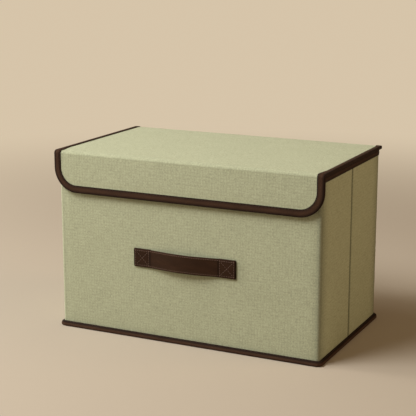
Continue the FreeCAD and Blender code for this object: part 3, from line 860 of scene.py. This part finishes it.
def make_back():
    """The back wall, hemmed along its top and bound only where its cloth turns the corners."""
    def flat_place(x, z, h):
        return stack(x, WALL_Y + h, z)

    top = BACK_TOP - HEM_DROP
    hem_end = WALL_STRAIGHT - 1.5 * MM
    hem_stations = [(x, top, 0, -1) for x in run(-hem_end, hem_end, 5 * MM)]
    hem_section = tape_section(HEM_REACH, thick=0.35 * MM, crown=0.0)
    hem = bound_edge("back_top_hem", flat_place, hem_stations, cloth, hem_section)
    turned = [p for p in ROUND_WALL if p > WALL_STRAIGHT - 6 * MM]
    tapes = []
    for name, side_x in (("back_left_corner_binding", -1), ("back_right_corner_binding", 1)):
        stations = [(side_x * p, WALL_TOP - 0.1 * MM, 0, -1) for p in turned]
        tapes.append(bound_edge(name, wall_place(1), stations, binding, WALL_TAPE))
    carried("back", cloth=[hem], binding=tapes)
    hem_seam = seam_line(flat_place, hem_stations, 6.8 * MM, -PANEL - 0.3 * MM)
    make_wall("back", 1, top, BACK_TOP - HEM_REACH, [hem_seam])


def make_hinge():
    """The lid's cloth carried over its back edge and sewn down on the back wall, as the hinge."""
    lift, bend = 0.45 * MM, 2.4 * MM
    centre_y, centre_z = WALL_Y + lift - bend, LID_TOP - bend
    up, over = 10 * MM, centre_y - LID_BACK + LID_START
    rise = centre_z - BACK_TOP + up
    length = rise + bend * pi / 2 + over

    def place(u, s, h):
        radius = bend + h
        turn = np.clip((s - rise) / bend, 0, pi / 2)
        y = centre_y + radius * np.cos(turn) - np.maximum(s - rise - bend * pi / 2, 0)
        z = centre_z + radius * np.sin(turn) - np.maximum(rise - s, 0)
        return stack(u, y, z)

    s = spread([0, rise - 1 * MM, length - over + 1 * MM, length], [2 * MM, 0.3 * MM, 2 * MM])
    reach = LID_X - LID_TAPE_SHARE * TAPE_REACH + 0.1 * MM
    uu, ss = np.meshgrid(run(-reach, reach, 4 * MM), s)
    height = 0.1 * MM * uneven(uu, ss, 9 * MM, 31.0) * ease((length - over - ss) / (2 * MM))
    shift = (0, LID_START - length)
    strip = bent_sheet("lid_hinge_cloth", place, uu, ss, height, -0.35 * MM, cloth, shift)
    u = run(-reach + 2 * MM, reach - 2 * MM, 8 * MM)
    seams = []
    for along in (2.0 * MM, 4.5 * MM):
        line = place(u, along, 0)
        seams.append((line, (place(u, along, MM) - line) / MM))
    rows = stitches("lid_hinge_stitches", seams, width=0.5 * MM)

    def swing(piece):
        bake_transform(piece)

    joined(swing, cloth=[strip], binding=[rows])


# Side walls

def crease_relief(y):
    """The sewn crease: a narrow groove between two soft lips."""
    return (-1.9 * hump(y, 1.5 * MM) + 0.3 * hump(np.abs(y) - 3.8 * MM, 1.5 * MM)) * MM


def across_crease(end, step, fine):
    """Places along a side wall, closer together over its crease."""
    return spread([-end, -CREASE_EASE, CREASE_EASE, end], [step, fine, step])


def side_sheet(name, place, end, seed):
    """The outer cloth of a side wall, both halves in one, with its sewn crease."""
    yy, zz = np.meshgrid(across_crease(end, FINE, 0.25 * MM), run(WALL_LOW, WALL_TOP, FINE))
    to_end = end - np.abs(yy)
    inset = np.minimum(zz - FOOT_TOP, TAPE_TOP - WALL_TAPE_REACH - zz)
    height = slack(yy, zz, inset, seed) * ease((np.abs(yy) - 3 * MM) / (10 * MM))
    height = height * ease(to_end / (8 * MM)) + crease_relief(yy)
    height -= 0.5 * MM * hump(to_end, 1.3 * MM)
    # painted shade in the crease, where the cloth ends, and fading over a wide stretch beside each end
    sewn = hump(yy, 2.3 * MM) + 0.25 * hump(to_end, 1.8 * MM) + 0.4 * hump(to_end, 14 * MM)
    return bent_sheet(name, place, yy, zz, height, height - CLOTH, cloth, shift=(SIDE_FROM, 0), sewn=sewn)


def side_lining(name, place, end):
    yy, zz = np.meshgrid(across_crease(end, COARSE, 0.4 * MM), run(WALL_LOW, WALL_TOP, COARSE))
    return bent_sheet(name, place, yy, zz, -PANEL, -PANEL + CLOTH, lining)


def make_side(name, side):
    place = side_place(side)
    rear, front = name + "_rear", name + "_front"
    end = SIDE_END + SIDE_START
    skin = side_sheet(name + "_wall_cloth", place, end, 41.0 + side)
    inside = side_lining(name + "_wall_lining", place, end)
    tape_end = high(rear + "_top_tape").y
    stations = [(y, WALL_TOP, 0, -1) for y in across_crease(tape_end, 4 * MM, 0.4 * MM)]
    tape = bound_edge(name + "_top_binding", place, stations, binding, WALL_TAPE)
    foot_y = across_crease(end, 4 * MM, 0.4 * MM)
    foot = foot_along(name + "_bottom_binding", place, foot_y)
    seams = tape_seams(place, stations, WALL_TAPE_REACH)
    rows = stitches(name + "_stitches", [*seams, foot_seam(place, foot_y)])

    def fold_in(piece):
        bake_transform(piece)

    joined(fold_in, cloth=[skin], lining=[inside], binding=[tape, foot, rows])
    for piece, part in ((skin, "_cloth"), (inside, "_lining"), (tape, "_top_tape"), (foot, "_bottom_tape")):
        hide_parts(rear + part, front + part)


# Base

def leaf_sheet(name, side, top, bottom, material):
    """One base leaf, wider at its wall than at the middle crease."""
    shares, yy = np.meshgrid(run(-1, 1, 0.03), run(CREASE_Y, LEAF_BACK, 5 * MM))
    xx = shares * (LEAF_X - LEAF_BACK + yy)
    return bent_sheet(name, stack, xx, side * yy, top, bottom, material)


def softened(piece, width):
    """The same piece with its sharp edges rounded."""
    modifier = piece.modifiers.new("round", "BEVEL")
    modifier.width = width
    modifier.segments = 3
    modifier.limit_method = "ANGLE"
    modifier.angle_limit = SHARP_EDGE
    rounded, old = final_mesh(piece), piece.data
    piece.modifiers.clear()
    piece.data = rounded
    bpy.data.meshes.remove(old)
    rounded.name = piece.name
    rounded.shade_smooth()
    return piece


def gusset(name, side):
    """The triangle of base cloth between the leaves and a side wall, laid flat; on the box it gathers as the
    box folds.
    """
    shares, yy = np.meshgrid(run(0, 1, 0.08), run(-LEAF_BACK, LEAF_BACK, 4 * MM))
    inner = LEAF_X - LEAF_BACK + np.abs(yy) - 1.5 * MM
    outer = INNER_X - 0.4 * MM
    xx = inner + shares * (outer - inner)
    zz = 0.12 * MM * (1 + uneven(xx, yy, 14 * MM, 77.0)) * np.minimum(1, (outer - inner) / (4 * MM))
    return bent_sheet(name, stack, side * xx, yy, BASE_CLOTH + zz, zz * 0.2, cloth)


def make_base():
    for name, side in (("rear", 1), ("front", -1)):
        cover = softened(leaf_sheet("base_%s_cover" % name, side, LEAF_TOP, BASE_CLOTH, lining), 0.6 * MM)
        under = leaf_sheet("base_%s_underside" % name, side, BASE_CLOTH, 0.02 * MM, cloth)
        carried("base_" + name, lining=[cover], cloth=[under])
        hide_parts("base_%s_lining" % name)
        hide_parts("base_cloth")
    for name, side in (("left", -1), ("right", 1)):
        piece = gusset("base_%s_gusset" % name, side)
        carried("back", cloth=[piece])
        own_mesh(piece)


# Handle

HANDLE_END = HANDLE_HIGH.x
HANDLE_ROOT = HANDLE_END - HANDLE_PATCH
HANDLE_FACE = HANDLE_HIGH.y - 2 * WEBBING
HANDLE_HALF = (HANDLE_HIGH.z - HANDLE_LOW.z) / 2
HANDLE_MIDDLE = (HANDLE_HIGH.z + HANDLE_LOW.z) / 2


def handle_path():
    """The middle of the webbing seen from above: folded under at both ends, bowed between them."""
    fold, radius, step = HANDLE_END - WEBBING, WEBBING / 2, 0.8 * MM
    middle = HANDLE_HIGH.y - WEBBING
    under, over = middle + radius, middle - radius
    half = [(x, over - HANDLE_BOW * (1 - (x / HANDLE_ROOT) ** 2) ** 1.3) for x in run(0, HANDLE_ROOT, step)]
    half += [(x, over) for x in run(HANDLE_ROOT, fold, step)[1:]]
    half += [(fold + radius * cos(a), middle - radius * sin(a)) for a in np.radians(run(90, -90, 22))[1:]]
    half += [(x, under) for x in run(fold, HANDLE_ROOT, 3 * MM)[1:]]
    return np.array([(-x, y) for x, y in half[:0:-1]] + half)


def box_and_cross():
    """The lines sewn on one end of the handle, as pairs of (out from the middle, height)."""
    near, far = HANDLE_ROOT + 2.2 * MM, HANDLE_END - 3.0 * MM
    half = HANDLE_HALF - 2.6 * MM
    bottom, top = HANDLE_MIDDLE - half, HANDLE_MIDDLE + half
    a, b, c, d = (near, bottom), (far, bottom), (far, top), (near, top)
    return [(a, b), (b, c), (c, d), (d, a), (a, c), (b, d)]


def from_line(x, z, start, end):
    """Distance of points on the handle's face from a row of stitches."""
    dx, dz = end[0] - start[0], end[1] - start[1]
    x, z = x - start[0], z - start[1]
    share = np.clip((x * dx + z * dz) / (dx ** 2 + dz ** 2), 0, 1)
    return np.hypot(x - share * dx, z - share * dz)


def handle_strap(path, normal, lines):
    """The webbing, ribbed, thinner at its edges and drawn in along its stitches."""
    count = 37
    shares = np.concatenate([np.linspace(-1, 1, count), np.linspace(1, -1, count)])
    from_middle = np.abs(shares)
    thick = np.clip(1 - from_middle ** 14, 0.12, 1) * (1 - 0.1 * hump(from_middle - 0.86, 0.05))
    out = np.repeat((1.0, -1.0), count) * thick * WEBBING / 2
    along = lengths_along(path)
    ribs = 1 + 0.05 * np.sin(2 * pi * along / (2.4 * MM))
    xy = path[:, None, :] + normal[:, None, :] * (out[None, :, None] * ribs[:, None, None])
    rings = stack(xy[..., 0], xy[..., 1], HANDLE_MIDDLE + shares * HANDLE_HALF)
    reach = np.abs(rings[..., 0])
    apart = np.min([from_line(reach, rings[..., 2], start, end) for start, end in lines], axis=0)
    pulled = hump(apart, 0.8 * MM) * (rings[..., 1] < HANDLE_FACE + 0.5 * WEBBING)
    rings[..., 1] += 0.35 * MM * pulled
    # the edges are paler with wear
    edge = hump(from_middle - 1, 0.05)
    root = 0.8 * hump(reach - HANDLE_ROOT, 1.2 * MM)
    end = 0.9 * hump(reach - HANDLE_END, 1.1 * MM)
    # painted shade along the webbing's edges, at its folded ends, at the inner edges of the patches and
    # along its stitches
    sewn = np.maximum.reduce([0.5 * pulled, root, end, np.broadcast_to(0.8 * edge, root.shape)])
    flat = flat_map(shares[None, :] * HANDLE_HALF, along[:, None])
    return swept("handle_webbing", rings, flat, webbing, rubbed=edge, sewn=sewn)


def handle_seams(path, normal, lines):
    """The box and cross on each end, and a row near each edge of the webbing between them."""
    face = HANDLE_FACE + 0.2 * MM
    seams = []
    for side in (-1, 1):
        for start, end in lines:
            line = np.array([(side * x, face, z) for x, z in (start, end)])
            seams.append((line, np.tile((0.0, -1.0, 0.0), (2, 1))))
    free = (path[:, 1] < HANDLE_HIGH.y - 1.2 * WEBBING) & (np.abs(path[:, 0]) < HANDLE_ROOT)
    outward = normal[free]
    line = path[free] + outward * WEBBING / 2 * 0.98
    offset = HANDLE_HALF - 2.2 * MM
    for height in (HANDLE_MIDDLE - offset, HANDLE_MIDDLE + offset):
        seams.append((stack(line[:, 0], line[:, 1], height), stack(outward[:, 0], outward[:, 1], 0.0)))
    return seams


def make_handle():
    path = handle_path()
    tangent = np.gradient(path, axis=0)
    tangent /= np.linalg.norm(tangent, axis=1, keepdims=True)
    normal = np.stack([tangent[:, 1], -tangent[:, 0]], axis=1)
    lines = box_and_cross()
    strap = handle_strap(path, normal, lines)
    seams = handle_seams(path, normal, lines)
    rows = stitches("handle_stitches", seams, 3.2 * MM, 2.7 * MM, 0.85 * MM, handle_thread)
    carried("front", webbing=[strap], binding=[rows])
    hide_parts("handle_strap")


# Room

FLOOR_TONE = (0.38, 0.32, 0.245)
BACKDROP_TONE = (0.675, 0.555, 0.40)
FILL_TONE = (1.0, 0.74, 0.48)
LAMP_AIM = Vector((0, 0, 0.12))


def make_floor():
    """A plain pale floor that runs out into a background of the same tone."""
    material, tree, bsdf = shader("plain_floor")
    give(tree, bsdf, {"Base Color": (*FLOOR_TONE, 1), "Roughness": 0.8, "Specular IOR Level": 0.1})
    place = add(tree, "ShaderNodeTexCoord", output="Object")
    away = add(tree, "ShaderNodeVectorMath", {0: place}, "Value", operation="LENGTH")
    far = add(tree, "ShaderNodeMapRange", {"Value": away, "From Min": 0.6, "From Max": 1.7},
              interpolation_type="SMOOTHSTEP")
    glow = add(tree, "ShaderNodeEmission", {"Color": (*BACKDROP_TONE, 1), "Strength": 1.0})
    seen = tree.nodes.new("ShaderNodeLightPath").outputs
    shown = math_node(tree, "MAXIMUM", seen["Is Camera Ray"], seen["Is Glossy Ray"])
    amount = math_node(tree, "MULTIPLY", far, shown)
    mixed = add(tree, "ShaderNodeMixShader", {0: amount, 1: bsdf.outputs[0], 2: glow})
    give(tree, tree.nodes["Material Output"], {"Surface": mixed})
    bpy.ops.mesh.primitive_circle_add(vertices=96, radius=9, fill_type="NGON", location=(0, 0, 0))
    floor = bpy.context.object
    floor.name = "floor"
    floor.data.materials.append(material)


def make_background():
    """A faint warm light from all round, and a plain backdrop in the camera's view."""
    world = bpy.data.worlds.new("studio")
    scene.world = world
    world.use_nodes = True
    tree = world.node_tree
    tree.nodes.clear()
    seen = add(tree, "ShaderNodeLightPath", output="Is Camera Ray")
    fill = add(tree, "ShaderNodeBackground", {"Color": (*FILL_TONE, 1), "Strength": 0.2})
    backdrop = add(tree, "ShaderNodeBackground", {"Color": (*BACKDROP_TONE, 1), "Strength": 1.0})
    mixed = add(tree, "ShaderNodeMixShader", {0: seen, 1: fill, 2: backdrop})
    give(tree, tree.nodes.new("ShaderNodeOutputWorld"), {"Surface": mixed})


def lamp(name, place, size, power, colour):
    """A round soft lamp aimed at the box: metres and watts."""
    light = bpy.data.lights.new(name, "AREA")
    light.shape = "DISK"
    light.size = size
    light.energy = power
    light.color = colour
    holder = placed(name, light)
    holder.location = place
    holder.rotation_euler = (LAMP_AIM - Vector(place)).to_track_quat("-Z", "Y").to_euler()


def make_camera():
    """The photograph's viewpoint: angles in degrees, places in metres, the lens in pixels of the picture."""
    azimuth, elevation, roll = radians(26.013), radians(13.071), radians(-0.018)
    target, distance = Vector((-19.467 * MM, 0, 161.733 * MM)), 1667.835 * MM
    focal_pixels, picture_pixels = 1200.471, 416
    data = bpy.data.cameras.new("camera")
    data.sensor_width = 36
    data.lens = focal_pixels / picture_pixels * data.sensor_width
    data.clip_start, data.clip_end = 0.05, 50
    camera = placed("camera", data)
    turned = Matrix.Rotation(azimuth, 4, "Z") @ Matrix.Rotation(pi / 2 - elevation, 4, "X")
    back_away = Matrix.Rotation(roll, 4, "Z") @ Matrix.Translation((0, 0, distance))
    camera.matrix_world = Matrix.Translation(target) @ turned @ back_away
    scene.camera = camera


make_lid()
make_front()
make_back()
make_hinge()
make_side("left", -1)
make_side("right", 1)
make_base()
make_handle()
make_floor()
make_background()
lamp("key_light", (-0.92, -1.15, 1.89), size=1.35, power=65, colour=(0.98, 1.0, 1.03))
lamp("left_light", (-2.9, -0.51, 0.95), size=1.1, power=84, colour=(1.0, 0.98, 0.93))
lamp("right_light", (2.56, 0.45, 1.62), size=2.0, power=27, colour=(1.0, 0.76, 0.5))
make_camera()

scene.view_settings.view_transform = "Standard"
